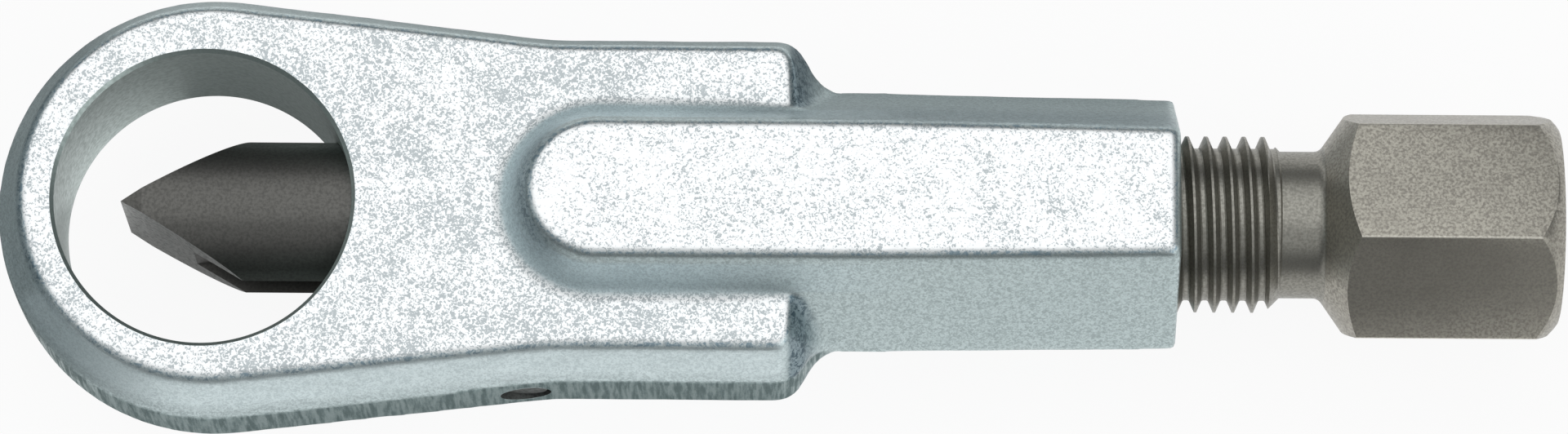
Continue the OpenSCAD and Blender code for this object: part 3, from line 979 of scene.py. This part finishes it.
def make_pin():
    bm = turned([(PIN_OUTER_Y, 0), (PIN_OUTER_Y, PIN_R - PIN_CHAMFER),
                 (PIN_OUTER_Y + PIN_CHAMFER, PIN_R), (PIN_INNER_Y - PIN_CHAMFER, PIN_R),
                 (PIN_INNER_Y, PIN_R - PIN_CHAMFER), (PIN_INNER_Y, 0)], 64, Y_AXIS)
    return piece(moved(bm, PIN_X), "guide_dowel", "frame", ["guide_pin"], [PIN])


def make_ball():
    bm = ball_shape(BALL_R)
    return piece(bm, "bearing_ball", "screw", ["thrust_ball"], [BALL])


make_body()
make_chisel()
make_screw()
make_pin()
make_ball()


# Floor, light and camera, in metres

FLOOR_SIZE = 3
FLOOR_WHITE = 0.92
FLOOR_COLOUR = (0.88, 0.885, 0.885, 1)
CARD_HEIGHTS = (0.00002, 0.00006)
# Cards under the bore paint reflections for the bore's walls: dark, with a painted-light glow that falls
# step by step towards +x
DARK_BORE = (0.06, 0.065, 0.065)
BORE_CARD_Y = (0.003, 0.0122)
BORE_CARD_X = -0.0540
BORE_CARD_STEP = 0.0016
BORE_CARD_COUNT = 4

# The cards made after the bore's row, as (name, low corner, high corner, colour, glow); each is a
# painted reflection, a dark colour for painted shade and a glow for painted light
CARDS = (
    ("bore_card_far", (-0.0476, 0.003), (-0.0300, 0.0122), DARK_BORE, 0.14),
    ("flank_card", (-0.0552, -0.0110), (-0.0330, 0.003), (0.06, 0.06, 0.06), 0.30),
    ("far_card", (-0.0660, 0.0125), (0.0010, 0.0300), (0.22, 0.235, 0.24), 0.0),
    ("shank_card", (0.0010, 0.0125), (0.0330, 0.0300), (0.42, 0.445, 0.45), 0.0),
    ("land_card", (-0.0580, -0.0260), (0.0020, -0.0130), (0.25, 0.27, 0.27), 0.36),
    ("near_card", (-0.25, -0.60), (0.25, -0.13), (0.10, 0.10, 0.10), 0.0),
)

# Area lights as (name, place, width, length, watts), all aimed at the origin
LIGHTS = (
    ("top_softbox", (0.0, 0.40, 1.2), 1.8, 1.8, 8.5),
    ("side_light", (1.1, -0.7, 0.7), 1.4, 1.0, 5.0),
    ("left_fill", (-1.15, 0.25, 0.72), 1.4, 0.8, 2.6),
    ("near_fill", (0.0, -0.9, 1.0), 1.4, 0.6, 0.8),
)

# World by height: the lowest and highest level, and the levels between as (place, grey)
WORLD_LOW = (0.04, 0.046, 0.050, 1)
WORLD_HIGH = (0.42, 0.432, 0.437, 1)
WORLD_HIGH_PLACE = 0.85
WORLD_BETWEEN = ((0.35, 0.085), (0.6, 0.22))

CAMERA_PITCH = math.radians(13.3)
CAMERA_ROLL = math.radians(0.4)
CAMERA_DISTANCE = 0.6225
CAMERA_TARGET = Vector((0.00037, 0.00037, 0.0116))
LENS = 180
SENSOR = 36


def make_floor():
    """Floor that camera, glossy and transmission rays see nearly white, with a faint shadow."""
    bm = bmesh.new()
    bmesh.ops.create_grid(bm, x_segments=1, y_segments=1, size=FLOOR_SIZE)
    obj = to_object(bm, "floor")
    material = bpy.data.materials.new("pale_floor")
    material.use_nodes = True
    tree = material.node_tree
    tree.nodes.clear()
    out = tree.nodes.new("ShaderNodeOutputMaterial")
    mix = tree.nodes.new("ShaderNodeMixShader")
    path = tree.nodes.new("ShaderNodeLightPath")
    seen = path.outputs["Is Camera Ray"]
    for ray in ("Is Glossy Ray", "Is Transmission Ray"):
        either = tree.nodes.new("ShaderNodeMath")
        either.operation = "MAXIMUM"
        tree.links.new(seen, either.inputs[0])
        tree.links.new(path.outputs[ray], either.inputs[1])
        seen = either.outputs[0]
    share = tree.nodes.new("ShaderNodeMath")
    share.operation = "MULTIPLY"
    share.inputs[1].default_value = FLOOR_WHITE
    diffuse = tree.nodes.new("ShaderNodeBsdfDiffuse")
    diffuse.inputs["Color"].default_value = FLOOR_COLOUR
    glow = tree.nodes.new("ShaderNodeEmission")
    glow.inputs["Color"].default_value = (1, 1, 1, 1)
    glow.inputs["Strength"].default_value = 1.0
    tree.links.new(seen, share.inputs[0])
    tree.links.new(share.outputs[0], mix.inputs["Fac"])
    tree.links.new(diffuse.outputs[0], mix.inputs[1])
    tree.links.new(glow.outputs[0], mix.inputs[2])
    tree.links.new(mix.outputs[0], out.inputs["Surface"])
    obj.data.materials.append(material)


def painted_reflection_card(name, low, high, colour, glow=0.0):
    """Card on the floor that shows only in the tool's reflections: a painted reflection, its dark colour
    painted shade and its glow painted light.
    """
    bottom, top = CARD_HEIGHTS
    obj = to_object(block((*low, bottom), (*high, top)), name)
    material = bpy.data.materials.new(name)
    material.use_nodes = True
    bsdf = material.node_tree.nodes["Principled BSDF"]
    bsdf.inputs["Base Color"].default_value = (*colour, 1)
    bsdf.inputs["Roughness"].default_value = 0.9
    bsdf.inputs["Emission Color"].default_value = (1, 1, 1, 1)
    bsdf.inputs["Emission Strength"].default_value = glow
    obj.data.materials.append(material)
    obj.visible_camera = False
    obj.visible_shadow = False
    obj.visible_diffuse = False


def make_cards():
    # Painted shade in the reflections beyond the ring's nose
    painted_reflection_card("left_card", (-0.30, -0.10), (-0.0665, 0.10), (0.34, 0.36, 0.365))
    near_y, far_y = BORE_CARD_Y
    for step in range(BORE_CARD_COUNT):
        x = BORE_CARD_X + BORE_CARD_STEP * step
        painted_reflection_card(f"bore_card_{step}", (x, near_y), (x + BORE_CARD_STEP, far_y), DARK_BORE,
                       0.96 - 0.19 * step)
    for card in CARDS:
        painted_reflection_card(*card)


def make_world():
    world = bpy.data.worlds.new("studio")
    bpy.context.scene.world = world
    world.use_nodes = True
    tree = world.node_tree
    tree.nodes.clear()
    out = tree.nodes.new("ShaderNodeOutputWorld")
    background = tree.nodes.new("ShaderNodeBackground")
    coords = tree.nodes.new("ShaderNodeTexCoord")
    split = tree.nodes.new("ShaderNodeSeparateXYZ")
    levels = tree.nodes.new("ShaderNodeValToRGB")
    tree.links.new(coords.outputs["Generated"], split.inputs[0])
    tree.links.new(split.outputs["Z"], levels.inputs["Fac"])
    stops = levels.color_ramp.elements
    stops[0].position = 0.0
    stops[0].color = WORLD_LOW
    stops[1].position = WORLD_HIGH_PLACE
    stops[1].color = WORLD_HIGH
    for place, grey in WORLD_BETWEEN:
        stops.new(place).color = (grey, grey * 1.04, grey * 1.06, 1)
    tree.links.new(levels.outputs["Color"], background.inputs["Color"])
    tree.links.new(background.outputs[0], out.inputs["Surface"])


def area_light(name, place, width, length, watts):
    light = bpy.data.lights.new(name, "AREA")
    light.shape = "RECTANGLE"
    light.size = width
    light.size_y = length
    light.energy = watts
    obj = bpy.data.objects.new(name, light)
    obj.location = place
    obj.rotation_mode = "QUATERNION"
    obj.rotation_quaternion = (-Vector(place)).to_track_quat("-Z", "Y")
    bpy.context.scene.collection.objects.link(obj)


def make_camera():
    back = Vector((0, -math.sin(CAMERA_PITCH), math.cos(CAMERA_PITCH)))
    level = Vector((1, 0, 0))
    upright = back.cross(level)
    right = level * math.cos(CAMERA_ROLL) + upright * math.sin(CAMERA_ROLL)
    up = upright * math.cos(CAMERA_ROLL) - level * math.sin(CAMERA_ROLL)
    data = bpy.data.cameras.new("camera")
    data.sensor_width = SENSOR
    data.lens = LENS
    data.clip_start = 0.01
    data.clip_end = 20
    obj = bpy.data.objects.new("camera", data)
    turn = Matrix((right, up, back)).transposed()
    place = Matrix.Translation(CAMERA_TARGET + back * CAMERA_DISTANCE)
    obj.matrix_world = place @ turn.to_4x4()
    bpy.context.scene.collection.objects.link(obj)
    bpy.context.scene.camera = obj


make_floor()
make_cards()
make_world()
for lamp in LIGHTS:
    area_light(*lamp)
make_camera()
bpy.context.scene.view_settings.view_transform = "Standard"
